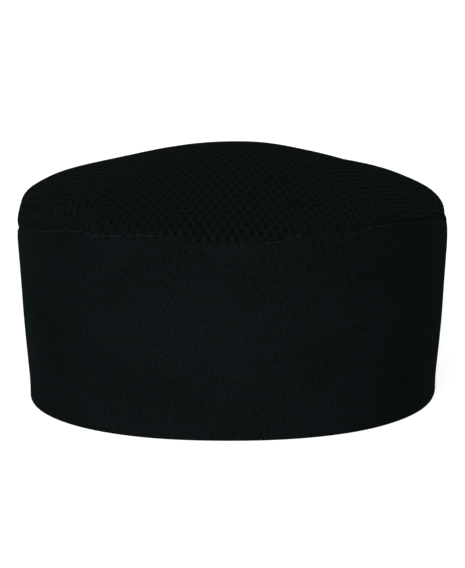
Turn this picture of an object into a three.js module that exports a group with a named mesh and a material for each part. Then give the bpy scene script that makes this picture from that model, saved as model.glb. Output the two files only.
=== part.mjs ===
// A cook's skull cap: a tall, stiff band of twill, and a soft crown of knitted mesh that is sewn to
// the band's top edge and stands up from it as a low tent.
// Millimetres, +Z up. The cap stands on its hem at z = 0, over the middle of its opening, and the
// forehead faces -Y. A turn is an angle round the cap in degrees: 0 at the forehead, 90 at +X.
import * as THREE from "three";

// Band
const hemWidth = 174; // across the ears, over the outside of the hem
const hemDepth = 200; // from forehead to nape, over the outside of the hem
const bandHeight = 84; // from the hem to the crown seam
const bandSpread = 5.2; // how far each side stands out past the hem where the band is fullest
const bandWall = 2.0; // two layers of twill over a stiffening
const hemRound = 0.4; // the folded hem's rounded corners

// Crown
const crownRise = 26.6; // from the crown seam to the crown's highest point
const crownLead = 22; // how far the highest point lies in front of the middle
const crownWall = 1.2; // one layer of mesh
const crownSetBack = 0.4; // the mesh starts this far inside the band's outer face
const seamGap = 0.3; // between the band's top edge and the mesh that is sewn to it

// How square the oval is: 2 is an ellipse, and more fills out its corners.
const hemSquareness = 2.2;
const seamSquareness = 2.07;

// Facets
const turnSteps = 96;
const bandSteps = 12;

// The band's outside, from the hem to the crown seam.
// up: share of bandHeight. out: share of bandSpread past the hem.
const bandProfile = [
  { up: 0.0, out: 0.0 },
  { up: 0.06, out: 0.0 },
  { up: 0.22, out: 0.24 },
  { up: 0.4, out: 0.51 },
  { up: 0.6, out: 0.73 },
  { up: 0.75, out: 0.91 },
  { up: 0.84, out: 1.0 },
  { up: 0.9, out: 0.96 },
  { up: 0.96, out: 0.76 },
  { up: 1.0, out: 0.5 },
];

// The crown seam's height round the cap: it sags at the left temple and has small steps in front.
// turn: degrees. lift: share of bandHeight above the band's own height.
const seamLine = [
  { turn: -180, lift: 0.0 },
  { turn: -135, lift: 0.004 },
  { turn: -95, lift: 0.014 },
  { turn: -80, lift: 0.004 },
  { turn: -66, lift: -0.044 },
  { turn: -56, lift: -0.044 },
  { turn: -44, lift: -0.019 },
  { turn: -36, lift: -0.018 },
  { turn: -26, lift: -0.002 },
  { turn: -18, lift: 0.007 },
  { turn: -13, lift: -0.006 },
  { turn: 0, lift: -0.004 },
  { turn: 11, lift: 0.0 },
  { turn: 16, lift: 0.014 },
  { turn: 32, lift: 0.007 },
  { turn: 42, lift: 0.014 },
  { turn: 62, lift: -0.007 },
  { turn: 92, lift: -0.03 },
  { turn: 135, lift: -0.006 },
  { turn: 180, lift: 0.0 },
];

// The crown's height from the seam to its highest point.
// inward: share of the way in. rise: share of crownRise.
const crownProfile = [
  { inward: 0.0, rise: 0.0 },
  { inward: 0.02, rise: 0.042 },
  { inward: 0.06, rise: 0.126 },
  { inward: 0.12, rise: 0.21 },
  { inward: 0.2, rise: 0.305 },
  { inward: 0.3, rise: 0.424 },
  { inward: 0.45, rise: 0.6 },
  { inward: 0.6, rise: 0.763 },
  { inward: 0.75, rise: 0.89 },
  { inward: 0.88, rise: 0.965 },
  { inward: 1.0, rise: 1.0 },
];

// Soft folds and dents of the crown, each along a line that runs inward from the seam. The two wide
// ones at the sides are the way that the whole crown slumps a little towards +X.
// turn: degrees, where it leaves the seam. swing: degrees it turns by on its way to the middle.
// halfWidth: degrees. inward: share of the way in at which it is highest. reach: the same, for how
// quickly it fades. height: share of crownRise, negative for a dent.
const crownFolds = [
  { turn: -62, swing: 38, halfWidth: 6, inward: 0.1, reach: 0.13, height: 0.09 },
  { turn: -50, swing: 30, halfWidth: 8, inward: 0.07, reach: 0.08, height: -0.13 },
  { turn: -84, swing: 20, halfWidth: 12, inward: 0.08, reach: 0.1, height: 0.06 },
  { turn: -30, swing: 10, halfWidth: 14, inward: 0.14, reach: 0.14, height: 0.03 },
  { turn: 86, swing: -16, halfWidth: 26, inward: 0.06, reach: 0.08, height: -0.06 },
  { turn: 62, swing: -20, halfWidth: 12, inward: 0.12, reach: 0.12, height: 0.045 },
  { turn: -96, swing: 0, halfWidth: 50, inward: 0.22, reach: 0.2, height: 0.04 },
  { turn: 96, swing: 0, halfWidth: 50, inward: 0.24, reach: 0.2, height: -0.06 },
];

// Shares of the way in
const foldStart = 0.02; // over which the folds grow out of the seam
const edgeTurn = 0.06; // over which the mesh's thickness turns from across the seam to downward
const crownRows = [0, 0.01, 0.025, 0.05, 0.085, 0.13, 0.19, 0.27, 0.37, 0.49, 0.62, 0.76, 0.89];
const seamFade = 8; // how soon the crown forgets the seam's ups and downs: more is sooner

// A smooth curve through one column of a table, read at a place along its key column.
function follow(rows, key, column, place) {
  const last = rows.length - 2;
  let i = 0;
  while (i < last && rows[i + 1][key] < place) i += 1;
  const slope = (n) =>
    (rows[n + 1][column] - rows[n][column]) / (rows[n + 1][key] - rows[n][key]);
  const slopeBefore = i > 0 ? (slope(i - 1) + slope(i)) / 2 : slope(i);
  const slopeAfter = i < last ? (slope(i) + slope(i + 1)) / 2 : slope(i);
  const span = rows[i + 1][key] - rows[i][key];
  const t = THREE.MathUtils.clamp((place - rows[i][key]) / span, 0, 1);
  const rest = 1 - t;
  return (
    rows[i][column] * rest * rest * (1 + 2 * t) +
    rows[i + 1][column] * t * t * (1 + 2 * rest) +
    span * t * rest * (slopeBefore * rest - slopeAfter * t)
  );
}

// A bell curve: 1 in the middle, and near 0 past two widths from it.
function bell(distance, width) {
  return Math.exp(-((distance / width) ** 2));
}

// A point of an oval, at a turn in degrees.
function ovalPoint(halfWidth, halfDepth, squareness, turn, z) {
  const angle = THREE.MathUtils.degToRad(turn);
  const bent = (value) => Math.sign(value) * Math.abs(value) ** (2 / squareness);
  return new THREE.Vector3(
    halfWidth * bent(Math.sin(angle)),
    -halfDepth * bent(Math.cos(angle)),
    z,
  );
}

const turns = Array.from({ length: turnSteps }, (_, i) => -180 + (360 / turnSteps) * i);

// One solid from a row of rings, each ring with one point for each turn. The skin runs from ring to
// ring. Without poles the last ring joins the first; with them a single point closes each end.
function solidFromRings(rings, poles) {
  const points = rings.flat();
  const faces = [];
  const pointAt = (ring, step) => ring * turnSteps + (step % turnSteps);
  const joins = poles ? rings.length - 1 : rings.length;
  for (let ring = 0; ring < joins; ring += 1) {
    const next = (ring + 1) % rings.length;
    for (let step = 0; step < turnSteps; step += 1) {
      const [a, b] = [pointAt(ring, step), pointAt(ring, step + 1)];
      const [c, d] = [pointAt(next, step), pointAt(next, step + 1)];
      faces.push(a, b, d, a, d, c);
    }
  }
  if (poles) {
    const first = points.push(poles[0]) - 1;
    const end = points.push(poles[1]) - 1;
    for (let step = 0; step < turnSteps; step += 1) {
      faces.push(first, pointAt(0, step + 1), pointAt(0, step));
      faces.push(end, pointAt(rings.length - 1, step), pointAt(rings.length - 1, step + 1));
    }
  }
  const geometry = new THREE.BufferGeometry().setFromPoints(points);
  geometry.setIndex(faces);
  geometry.computeVertexNormals();
  return geometry;
}

// How high the band's top edge is at a turn.
function seamHeight(turn) {
  return bandHeight * (1 + follow(seamLine, "turn", "lift", turn));
}

// A ring of the band at a share of its height, moved in from its outer face.
function bandRing(up, inset) {
  const out = bandSpread * follow(bandProfile, "up", "out", up) - inset;
  const squareness = THREE.MathUtils.lerp(hemSquareness, seamSquareness, up);
  return turns.map((turn) =>
    ovalPoint(hemWidth / 2 + out, hemDepth / 2 + out, squareness, turn, up * seamHeight(turn)),
  );
}

function bandGeometry() {
  const hemUp = hemRound / bandHeight;
  const ups = Array.from({ length: bandSteps + 1 }, (_, i) => hemUp + (1 - hemUp) * (i / bandSteps));
  return solidFromRings([
    bandRing(0, hemRound),
    ...ups.map((up) => bandRing(up, 0)),
    ...ups.toReversed().map((up) => bandRing(up, bandWall)),
    bandRing(0, bandWall - hemRound),
  ]);
}

// How far the folds lift the crown at a place. They die away at the seam, so that the mesh still
// meets the band's top edge.
function foldHeight(inward, turn) {
  const grown = 1 - Math.exp(-inward / foldStart);
  return crownFolds.reduce((sum, fold) => {
    const line = fold.turn + fold.swing * inward;
    const across = bell(turn - line, fold.halfWidth);
    const along = bell(inward - fold.inward, fold.reach);
    return sum + crownRise * fold.height * across * along * grown;
  }, 0);
}

// A ring of the crown at a share of the way in. thin is 0 on the outside of the mesh and 1 on its
// inside; near the seam the mesh has its thickness across, and further in it has it downward.
function crownRing(inward, thin) {
  const reach = 1 - inward;
  const levelled = THREE.MathUtils.smoothstep(inward, 0, edgeTurn);
  const out = bandSpread * bandProfile.at(-1).out - crownSetBack - thin * crownWall * (1 - levelled);
  const rise = crownRise * follow(crownProfile, "inward", "rise", inward);
  const lead = crownLead * (1 - reach ** 2);
  return turns.map((turn) => {
    const seam = THREE.MathUtils.lerp(bandHeight, seamHeight(turn), reach ** seamFade) + seamGap;
    const z = seam + rise + foldHeight(inward, turn) - thin * crownWall * levelled;
    const halfWidth = (hemWidth / 2 + out) * reach;
    const halfDepth = (hemDepth / 2 + out) * reach;
    const point = ovalPoint(halfWidth, halfDepth, seamSquareness, turn, z);
    point.y -= lead;
    return point;
  });
}

function crownGeometry() {
  const top = new THREE.Vector3(0, -crownLead, bandHeight + seamGap + crownRise);
  const underTop = top.clone().setZ(top.z - crownWall);
  return solidFromRings(
    [
      ...crownRows.toReversed().map((inward) => crownRing(inward, 1)),
      ...crownRows.map((inward) => crownRing(inward, 0)),
    ],
    [underTop, top],
  );
}

const twill = new THREE.MeshStandardMaterial({ color: 0x12171a, roughness: 0.85, metalness: 0 });
const knittedMesh = new THREE.MeshStandardMaterial({ color: 0x0f1315, roughness: 0.9, metalness: 0 });

const band = new THREE.Mesh(bandGeometry(), twill);
band.name = "band";

const crown = new THREE.Mesh(crownGeometry(), knittedMesh);
crown.name = "crown";

const cap = new THREE.Group();
cap.add(band, crown);

export default cap;
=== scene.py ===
import math

import bpy
import numpy as np
from mathutils import Matrix, Vector, noise
from mathutils.bvhtree import BVHTree


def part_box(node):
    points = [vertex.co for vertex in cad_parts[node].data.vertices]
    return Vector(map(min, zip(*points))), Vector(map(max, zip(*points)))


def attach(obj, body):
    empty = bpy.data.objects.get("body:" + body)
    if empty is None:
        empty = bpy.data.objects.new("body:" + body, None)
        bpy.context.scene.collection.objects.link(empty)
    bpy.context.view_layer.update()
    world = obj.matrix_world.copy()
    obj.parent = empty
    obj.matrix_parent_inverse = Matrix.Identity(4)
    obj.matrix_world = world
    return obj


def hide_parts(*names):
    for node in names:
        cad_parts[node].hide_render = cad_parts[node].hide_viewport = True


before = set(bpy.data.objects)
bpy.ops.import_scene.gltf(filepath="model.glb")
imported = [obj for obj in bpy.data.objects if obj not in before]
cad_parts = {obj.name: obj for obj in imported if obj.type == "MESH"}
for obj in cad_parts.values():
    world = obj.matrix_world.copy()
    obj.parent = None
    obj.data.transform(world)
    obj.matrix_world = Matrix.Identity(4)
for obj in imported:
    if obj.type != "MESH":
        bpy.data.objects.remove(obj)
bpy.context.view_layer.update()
mm = 0.001
rayStart = 0.2  # metres; measuring rays start this far out or up, clear of the cap
down = Vector((0, 0, -1))
print("frame loaded")


def useAlone(piece):
    for thing in bpy.context.selected_objects:
        thing.select_set(False)
    piece.select_set(True)
    bpy.context.view_layer.objects.active = piece


def startEdit(piece, kind="VERT"):
    useAlone(piece)
    bpy.ops.object.mode_set(mode="EDIT")
    bpy.ops.mesh.select_mode(type=kind)


def endEdit():
    bpy.ops.object.mode_set(mode="OBJECT")


def applyModifier(piece, name, kind, settings):
    useAlone(piece)
    modifier = piece.modifiers.new(name, kind)
    for key, value in settings.items():
        setattr(modifier, key, value)
    bpy.ops.object.modifier_apply(modifier=name)


def pointsOf(piece):
    place = np.empty(len(piece.data.vertices) * 3, np.float32)
    piece.data.vertices.foreach_get("co", place)
    return place.reshape(-1, 3).astype(float)


def movePoints(piece, place):
    piece.data.vertices.foreach_set("co", place.astype(np.float32).ravel())
    piece.data.update()


def selectPoints(piece, chosen):
    # in object mode, for the next edit
    mesh = piece.data
    edges = np.array([e.vertices[:] for e in mesh.edges])
    mesh.vertices.foreach_set("select", chosen)
    mesh.edges.foreach_set("select", chosen[edges].all(1))
    mesh.polygons.foreach_set("select", [all(chosen[v] for v in p.vertices) for p in mesh.polygons])


def turnOf(place):
    return np.degrees(np.arctan2(place[:, 0], -place[:, 1]))


def outward(turn):
    angle = math.radians(turn)
    return Vector((math.sin(angle), -math.cos(angle), 0))


def trianglesOf(piece):
    return sum(len(face.vertices) - 2 for face in piece.data.polygons)


def treeOf(mesh):
    return BVHTree.FromPolygons([v.co for v in mesh.vertices], [p.vertices for p in mesh.polygons])


# What both cloths take from the frame's band: its outer face and its top edge
seam = {
    "turns": 720,  # places round the cap
    "evenOut": 30,  # passes that soften the frame's facets round the cap
    "evenOutUp": 4,  # and up the band
    "evenOutSteps": 2,  # and along the small steps
    "heights": 60,  # places up the band
    "ends": (0.006, 0.994),  # shares of its height at which the lowest and the highest of them lie
    "shoulder": 0.92,  # share of the band's height at which its roll to the seam has begun
    "lower": 0.2 * mm,  # how much lower a ray goes that has missed the band
    # at the sides the band's top edge sags, and the mesh stands up from it: turn, width towards the
    # forehead, width towards the nape, and depth
    "sags": [(-86, 16.5, 32, 14 * mm), (93, 17, 32, 7 * mm)],
    # the sewn line's small steps in front, over the frame's even one: turn, and lift in millimetres
    "steps": [
        (-64, 0), (-55, -0.5), (-45, 0.3), (-38.6, 0.9), (-34.9, 1.4), (-31.9, 0.55), (-26.7, 0.5),
        (-21, 0.7), (-16, 1.2), (-12, 2.0), (-9.9, 0.35), (-5, 0.05), (5, 0.15), (9, -0.3), (14, -1.1),
        (16.6, 0.1), (21.5, 0.5), (27.8, 0.75), (33.5, -0.2), (35.3, -0.25), (39.2, 0.6), (44.2, 0.65),
        (54.8, 0.4), (64, -0.4), (74, 0),
    ],
}
turns = np.arange(seam["turns"]) * 360 / seam["turns"] - 180
bandTree = treeOf(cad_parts["band"].data)
shoulderHeight = seam["shoulder"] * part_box("band")[1].z


def softened(values, passes=seam["evenOut"]):
    for _ in range(passes):
        values = (np.roll(values, 1, 0) + 2 * values + np.roll(values, -1, 0)) / 4
    return values


def measureRadius(turn, height):
    # just over the top edge a ray reaches the far side, and the next lower one is taken
    way = outward(turn)
    hit = bandTree.ray_cast(way * rayStart + Vector((0, 0, height)), -way)[0]
    if hit is None or hit.dot(way) < 0:
        return measureRadius(turn, height - seam["lower"])
    return hit.xy.length


def measureTop(turn):
    # the highest of the places 1 to 6 mm in from the shoulder
    shoulder = measureRadius(turn, shoulderHeight)
    drops = [outward(turn) * (shoulder - inset * mm) - down * rayStart for inset in range(1, 7)]
    hits = [bandTree.ray_cast(drop, down)[0] for drop in drops]
    return max(hit.z for hit in hits if hit)


def atTurn(values, turn):
    return np.interp(turn, turns, values, period=360)


def sagAt(turn, frontWidth, backWidth, depth):
    away = np.abs(turns) - abs(turn)
    width = np.where(away < 0, frontWidth, backWidth)
    return depth * np.exp(-((away / width) ** 2)) * (turns * turn > 0)


bandTop = softened(np.array([measureTop(turn) for turn in turns]))
levels = np.linspace(*seam["ends"], seam["heights"] + 1)
outerFace = softened(np.array([[measureRadius(t, s * z) for s in levels] for t, z in zip(turns, bandTop)]))
for _ in range(seam["evenOutUp"]):
    outerFace[:, 1:-1] = (outerFace[:, :-2] + 2 * outerFace[:, 1:-1] + outerFace[:, 2:]) / 4
topRadius = outerFace[:, -1]
sag = sum(sagAt(*values) for values in seam["sags"])
steps = softened(np.interp(turns, *zip(*seam["steps"])) * mm, seam["evenOutSteps"])
seamHeight = bandTop - sag + steps


def outerRadius(turn, height):
    # of the band's outer face, for arrays of turns and heights
    share = (height / atTurn(bandTop, turn) - levels[0]) / (levels[-1] - levels[0])
    up = np.clip(share, 0, 1) * seam["heights"]
    low = np.minimum(up.astype(int), seam["heights"] - 1)
    place = (turn + 180) / 360 * seam["turns"]
    spot = np.floor(place).astype(int)
    aside, above = place - spot, up - low
    spot, beside = spot % seam["turns"], (spot + 1) % seam["turns"]
    near = outerFace[spot, low] * (1 - above) + outerFace[spot, low + 1] * above
    far = outerFace[beside, low] * (1 - above) + outerFace[beside, low + 1] * above
    return near * (1 - aside) + far * aside


print("seam measured")

# Band: two layers of twill over a stiffening, folded at the hem and at the top edge
bandCloth = {
    "wall": 1.9 * mm,
    "topEdge": 0.9 * mm,  # only the outer layer reaches the seam, so the edge is thinner
    "topEdgeDepth": 7 * mm,
    "thickening": 4 * mm,  # below that, over this height, it gains its full thickness
    "outsideRows": 34,
    "edgeRows": 12,  # finer ones below the top edge
    "edgeShare": 0.94,  # share of the height at which they start
    "insideRows": 22,
    "foldRows": 8,
    "unevenness": 0.22 * mm,
    "unevenSize": 46 * mm,
    "unevenRound": 95 * mm,  # radius of the tube that it is read on
    "pucker": 0.2 * mm,  # ripples where the crown seam draws the cloth in
    "puckerSize": 7.0014 * mm,
    "puckerPlace": (9, 4, 2),  # elsewhere in the noise than the unevenness
    "puckerReach": 7 * mm,
    "stitches": 144,  # of the crown seam; each draws the top edge in a little
    "stitchPull": 0.16 * mm,
    "groove": 0.22 * mm,  # that the stitches press into the cloth below the edge
    "grooveEase": 0.35,  # share of its depth that goes and comes from stitch to stitch
    "grooveAt": 1.5 * mm,
    "grooveWidth": 0.6 * mm,
    "joinRadius": 103 * mm,  # the plain upright join at the nape
    "joinDepth": 0.45 * mm,
    "joinWidth": 1.3 * mm,
    "joinLip": 0.5,  # share of that depth by which the cloth rises beside the join
    "joinLipWidth": 2.2,  # times the join's own
    "clothRound": 600 * mm,  # of the cloth's own flat pattern: once round the cap
    "clothHeight": 82 * mm,  # and from fold to fold
}


def bandSection():
    # rows once round the wall: share of the height between the folds, set in, and lift from there
    wall, edge = bandCloth["wall"], bandCloth["topEdge"]
    bends = [math.pi * (i + 0.5) / bandCloth["foldRows"] for i in range(bandCloth["foldRows"])]
    shares = np.concatenate([
        np.linspace(0, bandCloth["edgeShare"], bandCloth["outsideRows"], endpoint=False),
        np.linspace(bandCloth["edgeShare"], 1, bandCloth["edgeRows"] + 1),
    ])
    outside = [(share, 0, 0) for share in shares]
    topFold = [(1, edge / 2 * (1 - math.cos(a)), edge / 2 * math.sin(a)) for a in bends]
    inside = [(1 - i / bandCloth["insideRows"], edge, 0) for i in range(bandCloth["insideRows"] + 1)]
    hemFold = [(0, wall / 2 * (1 + math.cos(a)), -wall / 2 * math.sin(a)) for a in bends]
    return np.array(outside + topFold + inside + hemFold), len(outside), len(outside + topFold)


def bandRelief(turn, height, belowTop):
    # how far the cloth stands out of its even form
    place = outward(turn) * bandCloth["unevenRound"] + Vector((0, 0, height))
    relief = bandCloth["unevenness"] * noise.noise(place / bandCloth["unevenSize"])
    ripple = noise.noise(place / bandCloth["puckerSize"] + Vector(bandCloth["puckerPlace"]))
    relief += bandCloth["pucker"] * ripple * math.exp(-belowTop / bandCloth["puckerReach"])
    pressed = (belowTop - bandCloth["grooveAt"]) / bandCloth["grooveWidth"]
    ease = bandCloth["grooveEase"]
    stitch = 1 - ease + ease * math.cos(math.radians(turn) * bandCloth["stitches"])
    relief -= bandCloth["groove"] * stitch * math.exp(-(pressed**2))
    away = math.radians(180 - abs(turn)) * bandCloth["joinRadius"] / bandCloth["joinWidth"]
    lip = bandCloth["joinLip"] * math.exp(-((away / bandCloth["joinLipWidth"]) ** 2))
    relief += bandCloth["joinDepth"] * (lip - (1 + bandCloth["joinLip"]) * math.exp(-(away**2)))
    return relief


def makeBand():
    section, firstFold, firstInside = bandSection()
    count = seam["turns"]
    bpy.ops.mesh.primitive_circle_add(vertices=count, radius=0.1)
    band = bpy.context.object
    band.name = "twill_band"
    startEdit(band)
    bpy.ops.mesh.select_all(action="SELECT")
    for _ in section[1:]:
        bpy.ops.mesh.extrude_region_move(TRANSFORM_OT_translate={"value": (0, 0, mm)})
    bpy.ops.mesh.select_all(action="DESELECT")
    bpy.ops.mesh.select_non_manifold()
    bpy.ops.mesh.bridge_edge_loops()
    endEdit()
    # each row of the tube goes to its place in the section
    tube = pointsOf(band)
    row = np.round(tube[:, 2] / mm).astype(int)
    spot = np.round((turnOf(tube) + 180) / 360 * count).astype(int) % count
    low = bandCloth["wall"] / 2
    high = seamHeight - bandCloth["topEdge"] / 2
    share, inset, lift = section[row].T
    onEdge = (row >= firstFold) & (row < firstInside)
    pull = 0.5 + 0.5 * np.cos(np.radians(turns[spot]) * bandCloth["stitches"])
    height = low + share * (high[spot] - low) + lift - bandCloth["stitchPull"] * pull * onEdge
    below = (high[spot] - height - bandCloth["topEdgeDepth"]) / bandCloth["thickening"]
    gain = np.clip(below, 0, 1) * (bandCloth["wall"] - bandCloth["topEdge"])
    isInside = (row >= firstInside) & (row < firstInside + bandCloth["insideRows"] + 1)
    radius = outerRadius(turns[spot], height) - inset - gain * isInside
    gap = seamHeight[spot] - height
    radius += [bandRelief(turns[i], z, max(g, 0)) for i, z, g in zip(spot, height, gap)]
    angle = np.radians(turns[spot])
    movePoints(band, np.stack([radius * np.sin(angle), -radius * np.cos(angle), height], 1))
    startEdit(band)
    bpy.ops.mesh.select_all(action="SELECT")
    bpy.ops.mesh.normals_make_consistent(inside=False)
    endEdit()
    writeBandUv(band, row, spot, section)
    bpy.ops.object.shade_smooth()
    return band


def writeBandUv(band, row, spot, section):
    # across: along the cloth round the cap. up: from the hem, over the top edge and down inside
    perSpot = bandCloth["clothRound"] / seam["turns"]
    heights = section[:, 0] * bandCloth["clothHeight"] + section[:, 2]
    lengths = np.hypot(np.diff(section[:, 1]), np.diff(heights))
    up = np.concatenate([[0], np.cumsum(lengths)])
    corner = np.empty(len(band.data.loops), np.int32)
    band.data.loops.foreach_get("vertex_index", corner)
    across = spot[corner].astype(float).reshape(-1, 4)
    along = row[corner].reshape(-1, 4)
    # faces that close the ring, or the tube, read on past the last spot and row
    across[(across.max(1) - across.min(1) > 2)[:, None] & (across < 2)] += seam["turns"]
    rise = up[along]
    rise[(along.max(1) - along.min(1) > 2)[:, None] & (along < 2)] = up[-1] + lengths[-1]
    uv = np.stack([across.ravel() * perSpot, rise.ravel()], 1)
    layer = band.data.uv_layers.new(name="cloth")
    layer.data.foreach_set("uv", uv.astype(np.float32).ravel())


band = makeBand()
print("band made, triangles:", trianglesOf(band))

# Crown: one layer of knitted mesh with staggered holes, rows from side to side
net = {
    "hole": 1.4 * mm,
    "corners": 12,  # of a hole
    "across": 3.9 * mm,  # from hole to hole along a row
    "along": 3.95 * mm,  # from row to row, on the cloth
    "firstRow": 0.95 * mm,  # from the seam in front to the middles of the first row
    "cloth": 0.9 * mm,
    "rim": 0.2 * mm,  # how far the cloth sinks to a hole's rim
    "rimShare": 0.6,  # points within this share of a hole's width from its middle are its rim
    "setIn": 1.15 * mm,  # from the band's outer face to where the mesh goes down into the seam
    "sideSetIn": -0.2 * mm,  # the same up its upright sides, which bulge a little where the seam sags
    "sideBulge": 3.5 * mm,  # height over which the upright sides come out to that
    "sideRound": 2 * mm,  # half the stretch over which the cloth bends over to them
    "sideCalm": 0.5,  # share of the unevenness that these sides are spared
    "fineAtSides": 3 * mm,  # how near to that bend its faces are finer
    "fineFrom": 0.2,  # how upright the sides have to be for that
    "fineAtSeam": 2 * mm,  # and how near to the seam
    "drawnAtSeam": 0.75,  # how far the seam draws the holes shut
    "drawnReach": 2.5 * mm,
    "drawnMost": 0.85,  # how far a dent draws them shut
    "drawnDepth": 0.6 * mm,  # depth at which it would draw them wholly shut
    "tuck": 1.2 * mm,  # how far the seam draws the mesh down
    "tuckReach": 0.7 * mm,
    "tuckEase": 0.7,  # share of that which the upright sides are spared
    "heldReach": 3 * mm,  # how far in the seam holds the mesh to its even form
    "stepReach": 7 * mm,  # how far in the mesh follows the seam's small steps
    "cuts": 144,  # straight cuts that trim the mesh to the seam
    "weld": 0.05 * mm,  # points of neighbouring cells that are nearer than this become one
    "cutWeld": 0.04 * mm,  # and so do points nearer than this after the cuts
    "sliver": 0.02 * mm,  # edges shorter than this go
    "onSeam": 0.15 * mm,  # points this near to the cutting line lie on it
    "allowance": 4.5 * mm,  # the cloth that turns down inside the band
    "edgeRings": 3,
    "unevenness": 0.3 * mm,
    "unevenSize": 24 * mm,
    "patternStart": 30,  # whole holes from the flat pattern's corner, so that it stays above 0
}
# Creases of the slack mesh: where they run on the ground below, and what they do across their line,
# in millimetres
creases = [
    {
        "line": [(-85, -37), (-79, -46), (-76, -50), (-69, -56), (-62, -60), (-57, -62), (-49, -62)],
        "height": 1.8, "outerWidth": 1.3, "innerWidth": 4, "dent": 0.7, "dentAt": 5, "dentWidth": 3.4,
        "drawnShut": 0.85,
    },
    {
        "line": [(-56, -80), (-46, -83), (-39, -84.5), (-31, -84)],
        "height": 0.7, "outerWidth": 1.6, "innerWidth": 3.5, "dent": 0.3, "dentAt": 3, "dentWidth": 2,
        "drawnShut": 0.3,
    },
]
# what is the same for all: shares of their line at which they begin and end, and over which they grow
# and fade, and in millimetres the stretch of their outer flank that draws the holes shut
creaseRun = {"begin": -0.05, "grow": 0.25, "end": 1.03, "fade": 0.35, "shutAt": 2, "shutWidth": 2.2}
# a cell's outer corners, as shares of across and along, from its right-hand side anticlockwise
brick = [
    (0.5, 0), (0.5, 0.5), (0.25, 0.5), (0, 0.5), (-0.25, 0.5), (-0.5, 0.5),
    (-0.5, 0), (-0.5, -0.5), (-0.25, -0.5), (0, -0.5), (0.25, -0.5), (0.5, -0.5),
]


def smoothCrown():
    # the frame's crown without its underside, with its facets rounded; only measured, never shown
    shape = bpy.data.objects.new("crownShape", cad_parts["crown"].data.copy())
    bpy.context.scene.collection.objects.link(shape)
    startEdit(shape, "FACE")
    bpy.ops.mesh.select_all(action="SELECT")
    bpy.ops.mesh.remove_doubles(threshold=0.01 * mm)
    bpy.ops.mesh.tris_convert_to_quads()
    bpy.ops.mesh.select_all(action="DESELECT")
    endEdit()
    for face in shape.data.polygons:
        face.select = face.normal.z < 0.1
    startEdit(shape, "FACE")
    bpy.ops.mesh.delete(type="FACE")
    endEdit()
    applyModifier(shape, "round", "SUBSURF", {"levels": 2, "render_levels": 2})
    tree = treeOf(shape.data)
    bpy.data.objects.remove(shape)
    return tree


crownTree = smoothCrown()


def crownHeight(x, y):
    hit = crownTree.ray_cast(Vector((x, y, rayStart)), down)[0]
    if hit:
        return hit.z
    # past its edge, the frame's gap over the band
    return float(atTurn(bandTop, math.degrees(math.atan2(x, -y)))) + 0.3 * mm


def eased(share):
    share = np.clip(share, 0, 1)
    return share * share * (3 - 2 * share)


def setInAt(turn, height):
    # from the band's outer face to the mesh, which comes out to it over the seam
    up = eased((height - atTurn(seamHeight, turn)) / net["sideBulge"])
    return net["setIn"] - (net["setIn"] - net["sideSetIn"]) * up


# The oval over which the mesh bends down, and the longer one that it is cut to
upright = eased((bandTop - seamHeight) / net["sideBulge"])
rimRadius = topRadius - setInAt(turns, bandTop)
cutRadius = rimRadius + np.clip(bandTop - seamHeight, 0, None)


def insetOf(place, edge):
    return atTurn(edge, turnOf(place)) - np.hypot(place[:, 0], place[:, 1])


# The cloth's length from the front of the seam to the back, against the place on the ground below it
front = net["setIn"] - atTurn(topRadius, 0)
back = atTurn(topRadius, 180) - net["setIn"]
planPlaces = np.linspace(front, back, 400)
planHeights = np.array([crownHeight(0, y) for y in planPlaces])
clothPlaces = np.concatenate([[0], np.cumsum(np.hypot(np.diff(planPlaces), np.diff(planHeights)))])
clothPlaces -= net["firstRow"]
spare = 20 * mm
planPlaces = np.concatenate([[front - spare], planPlaces, [back + spare]])
clothPlaces = np.concatenate([[clothPlaces[0] - spare], clothPlaces, [clothPlaces[-1] + spare]])


def clothNet():
    # one cell: a ring round the hole, and the brick round that
    bpy.ops.mesh.primitive_circle_add(vertices=net["corners"], radius=net["hole"] / 2)
    sheet = bpy.context.object
    sheet.name = "mesh_crown"
    startEdit(sheet)
    bpy.ops.mesh.select_all(action="SELECT")
    bpy.ops.mesh.extrude_region_move()
    bpy.ops.transform.resize(value=(2, 2, 2))
    endEdit()
    cell = pointsOf(sheet)
    for i, (x, y, _) in enumerate(cell):
        if math.hypot(x, y) > net["hole"] * 0.75:  # the outer of the two rings
            corner = round(math.atan2(y, x) / math.tau * len(brick)) % len(brick)
            cell[i, :2] = brick[corner][0] * net["across"], brick[corner][1] * net["along"]
    movePoints(sheet, cell)
    # the next row's cell is half a step to the side; the pair is then repeated both ways
    startEdit(sheet)
    bpy.ops.mesh.select_all(action="SELECT")
    bpy.ops.mesh.duplicate_move(TRANSFORM_OT_translate={"value": (net["across"] / 2, net["along"], 0)})
    endEdit()
    columns = math.ceil(2 * (topRadius.max() + net["across"]) / net["across"])
    pairs = math.ceil((clothPlaces[-1] - clothPlaces[0]) / (2 * net["along"]))
    for count, step in ((columns, (net["across"], 0, 0)), (pairs, (0, 2 * net["along"], 0))):
        applyModifier(sheet, "repeat", "ARRAY", {
            "count": count, "use_relative_offset": False,
            "use_constant_offset": True, "constant_offset_displace": step,
        })
    flat = pointsOf(sheet)
    flat[:, 0] -= (columns // 2) * net["across"]
    flat[:, 1] -= math.floor(spare / (2 * net["along"])) * 2 * net["along"]
    movePoints(sheet, flat)
    startEdit(sheet)
    bpy.ops.mesh.select_all(action="SELECT")
    bpy.ops.mesh.remove_doubles(threshold=net["weld"])
    endEdit()
    return sheet


def holeCentres(flat):
    # the middle of the cell that each point belongs to
    row = np.round(flat[:, 1] / net["along"])
    row = np.where(np.abs(flat[:, 1] / net["along"] - row) > 0.49, np.floor(flat[:, 1] / net["along"]), row)
    shift = (row % 2) * net["across"] / 2
    column = np.round((flat[:, 0] - shift) / net["across"])
    return np.stack([column * net["across"] + shift, row * net["along"]], 1)


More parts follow.
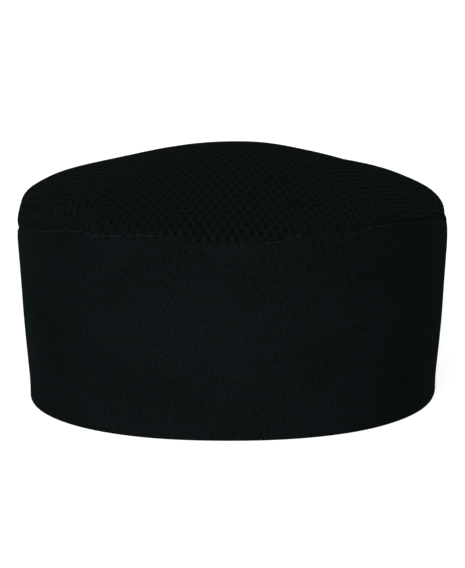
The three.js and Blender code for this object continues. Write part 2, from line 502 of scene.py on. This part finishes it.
def toPlan(flat):
    plan = flat.copy()
    plan[:, 1] = np.interp(flat[:, 1], clothPlaces, planPlaces)
    return plan


def toFlat(plan):
    flat = plan.copy()
    flat[:, 1] = np.interp(plan[:, 1], planPlaces, clothPlaces)
    return flat


def trimNet(sheet):
    flat = pointsOf(sheet)
    centres = toPlan(np.c_[holeCentres(flat), np.zeros(len(flat))])
    movePoints(sheet, toPlan(flat))
    # whole cells well outside go first
    selectPoints(sheet, insetOf(centres, cutRadius) < -net["along"])
    startEdit(sheet)
    bpy.ops.mesh.delete(type="VERT")
    endEdit()
    # the sheet is drawn in until its cutting line is the even oval, and straight cuts follow that
    plan = pointsOf(sheet)
    movePoints(sheet, plan * atTurn(rimRadius / cutRadius, turnOf(plan))[:, None])
    startEdit(sheet)
    places = np.linspace(-180, 180, net["cuts"] + 1)
    edge = [outward(t) * atTurn(rimRadius, t) for t in places]
    for start, end in zip(edge, edge[1:]):
        along = (end - start).normalized()
        bpy.ops.mesh.select_all(action="SELECT")
        bpy.ops.mesh.bisect(plane_co=start, plane_no=(along.y, -along.x, 0), clear_outer=True)
    bpy.ops.mesh.select_all(action="SELECT")
    bpy.ops.mesh.remove_doubles(threshold=net["cutWeld"])
    bpy.ops.mesh.dissolve_degenerate(threshold=net["sliver"])
    endEdit()
    plan = pointsOf(sheet)
    plan *= atTurn(cutRadius / rimRadius, turnOf(plan))[:, None]
    movePoints(sheet, plan)
    # finer faces near the seam and at the upright sides, where the cloth bends most
    near = insetOf(plan, cutRadius) < net["fineAtSeam"]
    atBend = np.abs(insetOf(plan, rimRadius)) < net["fineAtSides"]
    bending = atBend & (atTurn(upright, turnOf(plan)) > net["fineFrom"])
    selectPoints(sheet, near | bending)
    startEdit(sheet)
    bpy.ops.mesh.subdivide(number_cuts=1)
    endEdit()


def creaseAt(x, y, crease):
    # how high it lifts the cloth, and how far its outer flank draws the holes shut; in millimetres
    line = crease["line"]
    best = (1e9, 0, 0)
    for i, ((ax, ay), (bx, by)) in enumerate(zip(line, line[1:])):
        t = ((x - ax) * (bx - ax) + (y - ay) * (by - ay)) / ((bx - ax) ** 2 + (by - ay) ** 2)
        t = min(max(t, 0), 1)
        px, py = ax + (bx - ax) * t, ay + (by - ay) * t
        away = math.hypot(x - px, y - py)
        side = 1 if math.hypot(x, y) > math.hypot(px, py) else -1
        best = min(best, (away, side, (i + t) / (len(line) - 1)))
    away, side, share = best
    run = creaseRun
    fade = min(1, (share - run["begin"]) / run["grow"], (run["end"] - share) / run["fade"])
    width = crease["outerWidth"] if side > 0 else crease["innerWidth"]
    rise = crease["height"] * math.exp(-((away / width) ** 2))
    drawn = 0
    if side > 0:
        rise -= crease["dent"] * math.exp(-(((away - crease["dentAt"]) / crease["dentWidth"]) ** 2))
        drawn = crease["drawnShut"] * math.exp(-(((away - run["shutAt"]) / run["shutWidth"]) ** 2))
    return max(fade, 0) * rise, max(fade, 0) * drawn


def lieOver(turn, reach):
    # where the cloth at a turn and reach of the plan lies: on the crown, or down its upright side
    rim = float(atTurn(rimRadius, turn))
    way = outward(turn)
    if reach <= rim:
        return way * reach + Vector((0, 0, crownHeight(*(way * reach).xy)))
    height = crownHeight(*(way * rim * 0.999).xy) - (reach - rim)  # from just inside the rim
    radius = outerRadius(np.array([turn]), np.array([height]))[0] - setInAt(turn, height)
    return way * float(radius) + Vector((0, 0, height))


def lieRounded(turn, reach, bend):
    # the same, with the bend between the two rounded off
    if bend < 0.05 * mm or reach < atTurn(rimRadius, turn) - 2 * net["sideRound"]:
        return lieOver(turn, reach)
    spots = [lieOver(turn, reach + bend * step) for step in (-1, -0.6, -0.2, 0.2, 0.6, 1)]
    return sum(spots, Vector()) / len(spots)


def drapeNet(sheet):
    plan = pointsOf(sheet)
    flat = toFlat(plan)
    centres = holeCentres(flat)
    rim = np.hypot(*(flat[:, :2] - centres).T) < net["hole"] * net["rimShare"]
    folded = np.array([[creaseAt(x / mm, y / mm, c) for c in creases] for x, y, _ in plan]).sum(1)
    folds, drawn = folded[:, 0] * mm, folded[:, 1]
    # the dents and flanks of the creases and the pull of the seam draw the holes shut
    atSeam = net["drawnAtSeam"] * np.exp(-np.clip(insetOf(plan, cutRadius), 0, None) / net["drawnReach"])
    shut = rim * np.maximum(np.clip(-folds / net["drawnDepth"], drawn, net["drawnMost"]), atSeam)
    flat[:, :2] += (centres - flat[:, :2]) * shut[:, None]
    plan = toPlan(flat)
    turn, reach = turnOf(plan), np.hypot(plan[:, 0], plan[:, 1])
    fromSeam, toRim = np.clip(insetOf(plan, cutRadius), 0, None), insetOf(plan, rimRadius)
    side = atTurn(upright, turn)
    place = np.array([lieRounded(t, r, net["sideRound"] * u) for t, r, u in zip(turn, reach, side)])
    # out of the crown, and on the upright sides out to the side
    aside = side * eased(0.5 - toRim / (2 * net["sideRound"]))
    soft = np.array([noise.noise(Vector((x, y, 0)) / net["unevenSize"]) for x, y, _ in flat])
    held = np.exp(-fromSeam / net["heldReach"])
    uneven = net["unevenness"] * soft * (1 - net["sideCalm"] * aside)
    relief = (uneven + folds) * (1 - held) - net["rim"] * rim
    away = np.stack([np.sin(np.radians(turn)), -np.cos(np.radians(turn))], 1)
    place[:, :2] += away * (relief * aside)[:, None]
    place[:, 2] += relief * (1 - aside)
    # the seam draws the mesh down, and takes it along at its small steps
    tuck = net["tuck"] * (1 - net["tuckEase"] * side) * np.exp(-fromSeam / net["tuckReach"])
    raised = np.clip(atTurn(steps - sag, turn), 0, None) * np.exp(-fromSeam / net["stepReach"])
    place[:, 2] += raised - tuck
    movePoints(sheet, place)
    return plan


def turnEdgeDown(sheet, plan):
    # the cut edge goes on down the inside of the band; returns the plan of all points and their drop
    mesh = sheet.data
    edges = np.array([e.vertices[:] for e in mesh.edges])
    used = np.zeros(len(edges), int)
    for face in mesh.polygons:
        for key in face.loop_indices:
            used[mesh.loops[key].edge_index] += 1
    before = pointsOf(sheet)
    onSeam = insetOf(plan, cutRadius) < net["onSeam"]
    mesh.vertices.foreach_set("select", np.zeros(len(mesh.vertices), bool))
    mesh.polygons.foreach_set("select", np.zeros(len(mesh.polygons), bool))
    mesh.edges.foreach_set("select", (used == 1) & onSeam[edges].all(1))
    startEdit(sheet, "EDGE")
    for _ in range(net["edgeRings"]):
        # a millimetre each, which tells the rings apart below
        bpy.ops.mesh.extrude_region_move(TRANSFORM_OT_translate={"value": (0, 0, -mm)})
    endEdit()
    place = pointsOf(sheet)
    source = {(round(before[i, 0] / mm, 3), round(before[i, 1] / mm, 3)): i for i in np.where(onSeam)[0]}
    cameFrom = np.arange(len(place))
    for i in range(len(before), len(place)):
        x, y, z = place[i]
        cameFrom[i] = source[round(x / mm, 3), round(y / mm, 3)]
        top = before[cameFrom[i], 2]
        turn = math.degrees(math.atan2(x, -y))
        end = float(atTurn(seamHeight, turn)) - net["allowance"]
        low = top + (end - top) * round((top - z) / mm) / net["edgeRings"]
        radius = outerRadius(np.array([turn]), np.array([low]))[0] - setInAt(turn, low)
        place[i] = *(outward(turn) * float(radius)).xy, low
    movePoints(sheet, place)
    return plan[cameFrom], before[cameFrom, 2] - place[:, 2]


def writeNetUv(sheet, plan, drop):
    # the cloth's own flat pattern, which runs on down the turned edge
    flat = toFlat(plan)[:, :2]
    flat += plan[:, :2] / np.hypot(*plan[:, :2].T)[:, None] * drop[:, None]
    corner = np.empty(len(sheet.data.loops), np.int32)
    sheet.data.loops.foreach_get("vertex_index", corner)
    layer = sheet.data.uv_layers.new(name="cloth")
    start = net["patternStart"] * np.array([net["across"], net["along"]])
    layer.data.foreach_set("uv", (flat[corner] + start).astype(np.float32).ravel())


def makeCrown():
    sheet = clothNet()
    print("net laid", len(sheet.data.polygons))
    trimNet(sheet)
    print("net trimmed", len(sheet.data.polygons))
    plan, drop = turnEdgeDown(sheet, drapeNet(sheet))
    writeNetUv(sheet, plan, drop)
    if sum(face.normal.z for face in sheet.data.polygons) < 0:
        startEdit(sheet)
        bpy.ops.mesh.select_all(action="SELECT")
        bpy.ops.mesh.flip_normals()
        endEdit()
    applyModifier(sheet, "cloth", "SOLIDIFY", {"thickness": net["cloth"], "offset": -1})
    bpy.ops.object.shade_smooth()
    return sheet


crown = makeCrown()
print("crown made, triangles:", trianglesOf(crown))


# Materials
def toLinear(colour):
    parts = [int(colour[i:i + 2], 16) / 255 for i in (1, 3, 5)]
    return [p / 12.92 if p < 0.04045 else ((p + 0.055) / 1.055) ** 2.4 for p in parts] + [1]


def addNode(tree, kind, settings, links=()):
    # settings: attributes of the node, or values of its sockets by name or number
    # links: (socket, where it comes from)
    node = tree.nodes.new(kind)
    for key, value in settings.items():
        if isinstance(key, str) and hasattr(node, key):
            setattr(node, key, value)
        else:
            node.inputs[key].default_value = value
    for key, source in links:
        tree.links.new(source, node.inputs[key])
    return node


def newMaterial(name):
    material = bpy.data.materials.new(name)
    material.use_nodes = True
    return material, material.node_tree, material.node_tree.nodes["Principled BSDF"]


def finishCloth(tree, shader, look, colour, height):
    # matt, with no mirror of the room, and a faint sheen of its fibres at grazing angles
    bump = addNode(
        tree, "ShaderNodeBump", {"Strength": look["bump"], "Distance": look["bumpDepth"]},
        [("Height", height)],
    )
    tree.links.new(colour, shader.inputs["Base Color"])
    tree.links.new(bump.outputs["Normal"], shader.inputs["Normal"])
    shader.inputs["Roughness"].default_value = look["roughness"]
    shader.inputs["Specular IOR Level"].default_value = 0
    shader.inputs["Sheen Weight"].default_value = look["sheen"]
    shader.inputs["Sheen Roughness"].default_value = look["sheenRoughness"]
    shader.inputs["Sheen Tint"].default_value = toLinear(look["sheenTint"])


# Cotton and polyester twill, dyed near-black and pressed: matt, with steep fine ribs that lean right
twillLook = {
    "dark": "#010202",
    "light": "#090c0d",
    "tones": (1.7, 5.7),  # heights of the weave that are dark and light
    "clouds": 0.5,  # how much its cloudy patches lighten it
    "cloudScale": 34,  # of this noise and the next ones, per metre of cloth
    "ribs": 1.63,  # millimetres from rib to rib; real ones are half as far apart and wouldn't show
    "ribLean": 66.5,  # degrees up from the hem's direction
    "ribHeight": 0.55,
    "wander": 4.5,  # how far they wander, in radians of their wave
    "wanderScale": 300,
    "pressed": (0.3, 0.65),  # noise at which they are pressed flat, and stand up in full
    "pressedScale": 520,
    "threads": 0.62,  # millimetres between the threads that cross the ribs
    "threadHeight": 0.5,
    "tuftHeight": 7,
    "tuftScale": 950,
    "tuftStretch": 2.2,  # how many times longer the tufts of fibre are along the ribs than across
    "bump": 0.6,
    "bumpDepth": 0.05 * mm,
    "roughness": 0.72,
    "sheen": 0.0056,
    "sheenRoughness": 0.35,
    "sheenTint": "#c4eef4",
}
# The pressed top edge: a painted highlight of the light on its sheen, in dashes between the stitches
edgeHighlight = {
    # colour of the painted highlight on the top edge
    "colour": "#14191a",
    "up": 82.5,  # millimetres along the cloth from the hem
    "width": 0.55,
    "core": 0.4,  # share of the width in which it is strongest
    "stitch": 4.15,  # millimetres from stitch to stitch of the crown seam
    "stitchWander": 6,  # radians of their wave
    "dash": (-0.9, 0.1),  # that wave's heights at which a dash begins, and is full
    "patches": (0.45, 0.69),  # noise at which a worn patch begins, and is full
    "patchScale": 26,
    "spells": 5,  # it comes and goes this often round the cap
    "spell": 0.09,  # how much that adds to the noise
    "forehead": 0.304,  # metres along the cloth to the forehead, where it is least
}


def edgeHighlightOf(tree, uv, wander):
    # how strongly the painted highlight lies on the band's top edge; wander moves its dashes along a little
    place = addNode(tree, "ShaderNodeSeparateXYZ", {}, [("Vector", uv)])
    offEdge = addNode(
        tree, "ShaderNodeMath", {"operation": "SUBTRACT", 1: edgeHighlight["up"] * mm}, [(0, place.outputs["Y"])]
    )
    distance = addNode(tree, "ShaderNodeMath", {"operation": "ABSOLUTE"}, [(0, offEdge.outputs[0])])
    width = edgeHighlight["width"] * mm
    onEdge = addNode(
        tree, "ShaderNodeMapRange", {"From Min": width, "From Max": width * edgeHighlight["core"]},
        [("Value", distance.outputs[0])],
    )
    stitchPhase = addNode(
        tree, "ShaderNodeMath", {"operation": "MULTIPLY", 1: math.tau / (edgeHighlight["stitch"] * mm)},
        [(0, place.outputs["X"])],
    )
    uneven = addNode(
        tree, "ShaderNodeMath", {"operation": "MULTIPLY_ADD", 1: edgeHighlight["stitchWander"]},
        [(0, wander.outputs["Fac"]), (2, stitchPhase.outputs[0])],
    )
    dashes = addNode(tree, "ShaderNodeMath", {"operation": "SINE"}, [(0, uneven.outputs[0])])
    begin, full = edgeHighlight["dash"]
    dashed = addNode(
        tree, "ShaderNodeMapRange", {"From Min": begin, "From Max": full}, [("Value", dashes.outputs[0])]
    )
    # the painted highlight comes and goes round the cap, and breaks up into patches
    spells = edgeHighlight["spells"] * math.tau / bandCloth["clothRound"]
    spellPhase = addNode(
        tree, "ShaderNodeMath",
        {"operation": "MULTIPLY_ADD", 1: spells, 2: -edgeHighlight["forehead"] * spells},
        [(0, place.outputs["X"])],
    )
    comesGoes = addNode(tree, "ShaderNodeMath", {"operation": "COSINE"}, [(0, spellPhase.outputs[0])])
    patches = addNode(
        tree, "ShaderNodeTexNoise", {"Scale": edgeHighlight["patchScale"], "Detail": 4}, [("Vector", uv)]
    )
    patchNoise = addNode(
        tree, "ShaderNodeMath", {"operation": "MULTIPLY_ADD", 1: -edgeHighlight["spell"]},
        [(0, comesGoes.outputs[0]), (2, patches.outputs["Fac"])],
    )
    begin, full = edgeHighlight["patches"]
    patched = addNode(
        tree, "ShaderNodeMapRange", {"From Min": begin, "From Max": full}, [("Value", patchNoise.outputs[0])]
    )
    litPatches = addNode(
        tree, "ShaderNodeMath", {"operation": "MULTIPLY"},
        [(0, dashed.outputs["Result"]), (1, patched.outputs["Result"])],
    )
    edgeLit = addNode(
        tree, "ShaderNodeMath", {"operation": "MULTIPLY"},
        [(0, litPatches.outputs[0]), (1, onEdge.outputs["Result"])],
    )
    return edgeLit.outputs[0]


def twillMaterial():
    look = twillLook
    material, tree, shader = newMaterial("pressedTwill")
    uv = addNode(tree, "ShaderNodeUVMap", {"uv_map": "cloth"}).outputs["UV"]
    wander = addNode(
        tree, "ShaderNodeTexNoise", {"Scale": look["wanderScale"], "Detail": 2}, [("Vector", uv)]
    )
    lean = math.radians(look["ribLean"])
    ribsPerMetre = math.tau / (look["ribs"] * mm)
    across = (math.sin(lean) * ribsPerMetre, -math.cos(lean) * ribsPerMetre, 0)
    phase = addNode(tree, "ShaderNodeVectorMath", {"operation": "DOT_PRODUCT", 1: across}, [(0, uv)])
    bent = addNode(
        tree, "ShaderNodeMath", {"operation": "MULTIPLY_ADD", 1: look["wander"]},
        [(0, wander.outputs["Fac"]), (2, phase.outputs["Value"])],
    )
    evenRibs = addNode(tree, "ShaderNodeMath", {"operation": "SINE"}, [(0, bent.outputs[0])])
    # they show in some places and are pressed flat in others
    pressed = addNode(
        tree, "ShaderNodeTexNoise", {"Scale": look["pressedScale"], "Detail": 3}, [("Vector", uv)]
    )
    flat, full = look["pressed"]
    relief = addNode(
        tree, "ShaderNodeMapRange", {"From Min": flat, "From Max": full, "To Max": look["ribHeight"]},
        [("Value", pressed.outputs["Fac"])],
    )
    ribs = addNode(
        tree, "ShaderNodeMath", {"operation": "MULTIPLY"},
        [(0, evenRibs.outputs[0]), (1, relief.outputs["Result"])],
    )
    crossing = (0, math.tau / (look["threads"] * mm), 0)
    thread = addNode(tree, "ShaderNodeVectorMath", {"operation": "DOT_PRODUCT", 1: crossing}, [(0, uv)])
    threads = addNode(tree, "ShaderNodeMath", {"operation": "SINE"}, [(0, thread.outputs["Value"])])
    weave = addNode(
        tree, "ShaderNodeMath", {"operation": "MULTIPLY_ADD", 1: look["threadHeight"]},
        [(0, threads.outputs[0]), (2, ribs.outputs[0])],
    )
    # tufts of fibre, drawn out along the ribs
    alongRibs = addNode(
        tree, "ShaderNodeMapping",
        {"vector_type": "TEXTURE", "Rotation": (0, 0, lean), "Scale": (look["tuftStretch"], 1, 1)},
        [("Vector", uv)],
    )
    fibres = addNode(
        tree, "ShaderNodeTexNoise", {"Scale": look["tuftScale"], "Detail": 5, "Roughness": 0.7},
        [("Vector", alongRibs.outputs["Vector"])],
    )
    fuzz = addNode(
        tree, "ShaderNodeMath", {"operation": "MULTIPLY_ADD", 1: look["tuftHeight"]},
        [(0, fibres.outputs["Fac"]), (2, weave.outputs[0])],
    )
    low, high = look["tones"]
    tone = addNode(
        tree, "ShaderNodeMapRange", {"From Min": low, "From Max": high}, [("Value", fuzz.outputs[0])]
    )
    clouds = addNode(
        tree, "ShaderNodeTexNoise", {"Scale": look["cloudScale"], "Detail": 3}, [("Vector", uv)]
    )
    shade = addNode(
        tree, "ShaderNodeMath", {"operation": "MULTIPLY_ADD", 1: look["clouds"]},
        [(0, clouds.outputs["Fac"]), (2, tone.outputs["Result"])],
    )
    colour = addNode(
        tree, "ShaderNodeMix",
        {"data_type": "RGBA", "A": toLinear(look["dark"]), "B": toLinear(look["light"])},
        [("Factor", shade.outputs[0])],
    )
    # the band's top edge takes the painted highlight over the cloth's colour
    edged = addNode(
        tree, "ShaderNodeMix", {"data_type": "RGBA", "B": toLinear(edgeHighlight["colour"])},
        [("Factor", edgeHighlightOf(tree, uv, wander)), ("A", colour.outputs["Result"])],
    )
    finishCloth(tree, shader, look, edged.outputs["Result"], fuzz.outputs[0])
    return material


band.data.materials.append(twillMaterial())

# Polyester mesh, knitted on a warp machine: upright wales between the holes, a soft filament sheen
meshLook = {
    "dark": "#030404",
    "light": "#0a0d0e",
    "tones": (0.6, 5.8),  # heights of the knit that are dark and light
    "wales": 1.0,  # millimetres from one upright rib of loops to the next
    "waleHeight": 0.35,
    "loops": 0.85,  # millimetres from loop to loop
    "loopHeight": 0.35,
    "loopSlant": 1.2,  # how far the wales shift them, in radians of their wave
    "swellAndHoleShade": 1.3,  # how much thicker it is between the holes than towards them; the same term darkens its colour towards the holes as painted shade
    "fibreHeight": 6,
    "fibreScale": 800,  # of this noise, per metre of cloth
    "bump": 0.7,
    "bumpDepth": 0.08 * mm,
    "roughness": 0.6,
    "sheen": 0.0076,
    "sheenRoughness": 0.25,
    "sheenTint": "#ccedf2",
}


def meshMaterial():
    look = meshLook
    material, tree, shader = newMaterial("knittedMesh")
    uv = addNode(tree, "ShaderNodeUVMap", {"uv_map": "cloth"}).outputs["UV"]
    # waves that run over the cloth: wales and loops, and the holes across and along
    ways = (
        (math.tau / (look["wales"] * mm), 0, 0), (0, math.tau / (look["loops"] * mm), 0),
        (math.tau / net["across"], 0, 0), (0, math.pi / net["along"], 0),
    )
    phases = [
        addNode(tree, "ShaderNodeVectorMath", {"operation": "DOT_PRODUCT", 1: way}, [(0, uv)])
        for way in ways
    ]
    walePhase, loopPhase, holesAcross, holesAlong = [phase.outputs["Value"] for phase in phases]
    wales = addNode(tree, "ShaderNodeMath", {"operation": "SINE"}, [(0, walePhase)])
    slanted = addNode(
        tree, "ShaderNodeMath", {"operation": "MULTIPLY_ADD", 1: look["loopSlant"]},
        [(0, wales.outputs[0]), (2, loopPhase)],
    )
    loops = addNode(tree, "ShaderNodeMath", {"operation": "SINE"}, [(0, slanted.outputs[0])])
    # thick between the holes and thinner towards them; in the colour, painted shade that darkens it towards
    # each hole
    side = addNode(tree, "ShaderNodeMath", {"operation": "COSINE"}, [(0, holesAcross)])
    row = addNode(tree, "ShaderNodeMath", {"operation": "COSINE"}, [(0, holesAlong)])
    thinAndShaded = addNode(
        tree, "ShaderNodeMath", {"operation": "MULTIPLY"}, [(0, side.outputs[0]), (1, row.outputs[0])]
    )
    yarns = addNode(
        tree, "ShaderNodeMath", {"operation": "MULTIPLY", 1: look["waleHeight"]}, [(0, wales.outputs[0])]
    )
    swellAndHoleShade = addNode(
        tree, "ShaderNodeMath", {"operation": "MULTIPLY_ADD", 1: -look["swellAndHoleShade"]},
        [(0, thinAndShaded.outputs[0]), (2, yarns.outputs[0])],
    )
    knit = addNode(
        tree, "ShaderNodeMath", {"operation": "MULTIPLY_ADD", 1: look["loopHeight"]},
        [(0, loops.outputs[0]), (2, swellAndHoleShade.outputs[0])],
    )
    fibres = addNode(
        tree, "ShaderNodeTexNoise", {"Scale": look["fibreScale"], "Detail": 5, "Roughness": 0.7},
        [("Vector", uv)],
    )
    fuzz = addNode(
        tree, "ShaderNodeMath", {"operation": "MULTIPLY_ADD", 1: look["fibreHeight"]},
        [(0, fibres.outputs["Fac"]), (2, knit.outputs[0])],
    )
    low, high = look["tones"]
    tone = addNode(
        tree, "ShaderNodeMapRange", {"From Min": low, "From Max": high}, [("Value", fuzz.outputs[0])]
    )
    colour = addNode(
        tree, "ShaderNodeMix",
        {"data_type": "RGBA", "A": toLinear(look["dark"]), "B": toLinear(look["light"])},
        [("Factor", tone.outputs["Result"])],
    )
    finishCloth(tree, shader, look, colour.outputs["Result"], fuzz.outputs[0])
    return material


crown.data.materials.append(meshMaterial())
print("materials made")

# What stands for what
for piece, node, slot in ((band, "band", "twill"), (crown, "crown", "mesh")):
    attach(piece, "root")
    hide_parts(node)

# Studio
studio = {
    "world": 0.4,
    "keyTurn": -10,  # degrees round the cap from the forehead
    "keyRise": 24,
    "key": 6.4,
    "topTurn": 0,
    "topRise": 88,
    "top": 0.5,
    "softness": 50,  # degrees that each light is wide
    "floor": "#959696",
    "floorRoughness": 0.9,
    "floorShine": 0.1,
    "floorGlow": 0.78,  # a light table, so that the floor stays white in the cap's soft shadow
    "floorSize": 12,
    "unlit": (0.0862, 0.0992),  # half the width and depth of its part under the cap, without glow
    "unlitSquareness": 2.2,  # of that part's oval, as the hem's
    "unlitShare": 0.98,  # of that oval, beyond which the glow begins
}


def addLight(name, turn, rise, strength):
    bpy.ops.object.light_add(type="SUN")
    light = bpy.context.object
    light.name = name
    light.data.energy = strength
    light.data.angle = math.radians(studio["softness"])
    light.rotation_euler = (math.radians(90 - rise), 0, math.radians(turn))


addLight("keyLight", studio["keyTurn"], studio["keyRise"], studio["key"])
addLight("topLight", studio["topTurn"], studio["topRise"], studio["top"])
world = bpy.data.worlds.new("paleRoom")
bpy.context.scene.world = world
world.use_nodes = True
room = world.node_tree.nodes["Background"]
room.inputs["Color"].default_value = (1, 1, 1, 1)
room.inputs["Strength"].default_value = studio["world"]

bpy.ops.mesh.primitive_plane_add(size=studio["floorSize"])
floor = bpy.context.object
floor.name = "floor"
floorMaterial, floorTree, floorShader = newMaterial("palePaper")
floorCoord = addNode(floorTree, "ShaderNodeTexCoord", {}).outputs["Object"]
floorPlace = addNode(floorTree, "ShaderNodeSeparateXYZ", {}, [("Vector", floorCoord)])
powers = []
for axis, half in zip("XY", studio["unlit"]):
    offMiddle = addNode(
        floorTree, "ShaderNodeMath", {"operation": "ABSOLUTE"}, [(0, floorPlace.outputs[axis])]
    )
    share = addNode(
        floorTree, "ShaderNodeMath", {"operation": "DIVIDE", 1: half}, [(0, offMiddle.outputs[0])]
    )
    power = addNode(
        floorTree, "ShaderNodeMath", {"operation": "POWER", 1: studio["unlitSquareness"]},
        [(0, share.outputs[0])],
    )
    powers.append(power.outputs[0])
underCap = addNode(floorTree, "ShaderNodeMath", {"operation": "ADD"}, list(enumerate(powers)))
glow = addNode(
    floorTree, "ShaderNodeMapRange",
    {"From Min": studio["unlitShare"], "From Max": 1, "To Max": studio["floorGlow"]},
    [("Value", underCap.outputs[0])],
)
floorTree.links.new(glow.outputs["Result"], floorShader.inputs["Emission Strength"])
floorShader.inputs["Base Color"].default_value = toLinear(studio["floor"])
floorShader.inputs["Roughness"].default_value = studio["floorRoughness"]
floorShader.inputs["Emission Color"].default_value = (1, 1, 1, 1)
floorShader.inputs["Specular IOR Level"].default_value = studio["floorShine"]
floor.data.materials.append(floorMaterial)
bpy.context.scene.view_settings.view_transform = "Standard"

# Camera: the photo's long lens, a little to the cap's +X side and above it
shot = {
    "turn": 3.4,
    "rise": 11.07,
    "roll": -0.19,
    "distance": 2.0,
    "lens": 294.9,
    "sensor": 36,
    "farthest": 30,
    "aim": (-0.0002, 0, 0.0463),
}
bpy.ops.object.camera_add()
camera = bpy.context.object
rise = math.radians(shot["rise"])
camera.location = Vector(shot["aim"]) + shot["distance"] * (
    outward(shot["turn"]) * math.cos(rise) + Vector((0, 0, math.sin(rise)))
)
facing = Matrix.Rotation(math.radians(shot["turn"]), 3, "Z") @ Matrix.Rotation(math.pi / 2 - rise, 3, "X")
camera.rotation_euler = (facing @ Matrix.Rotation(math.radians(shot["roll"]), 3, "Z")).to_euler()
camera.data.lens = shot["lens"]
camera.data.sensor_width = shot["sensor"]
camera.data.clip_end = shot["farthest"]
bpy.context.scene.camera = camera
print("studio set")
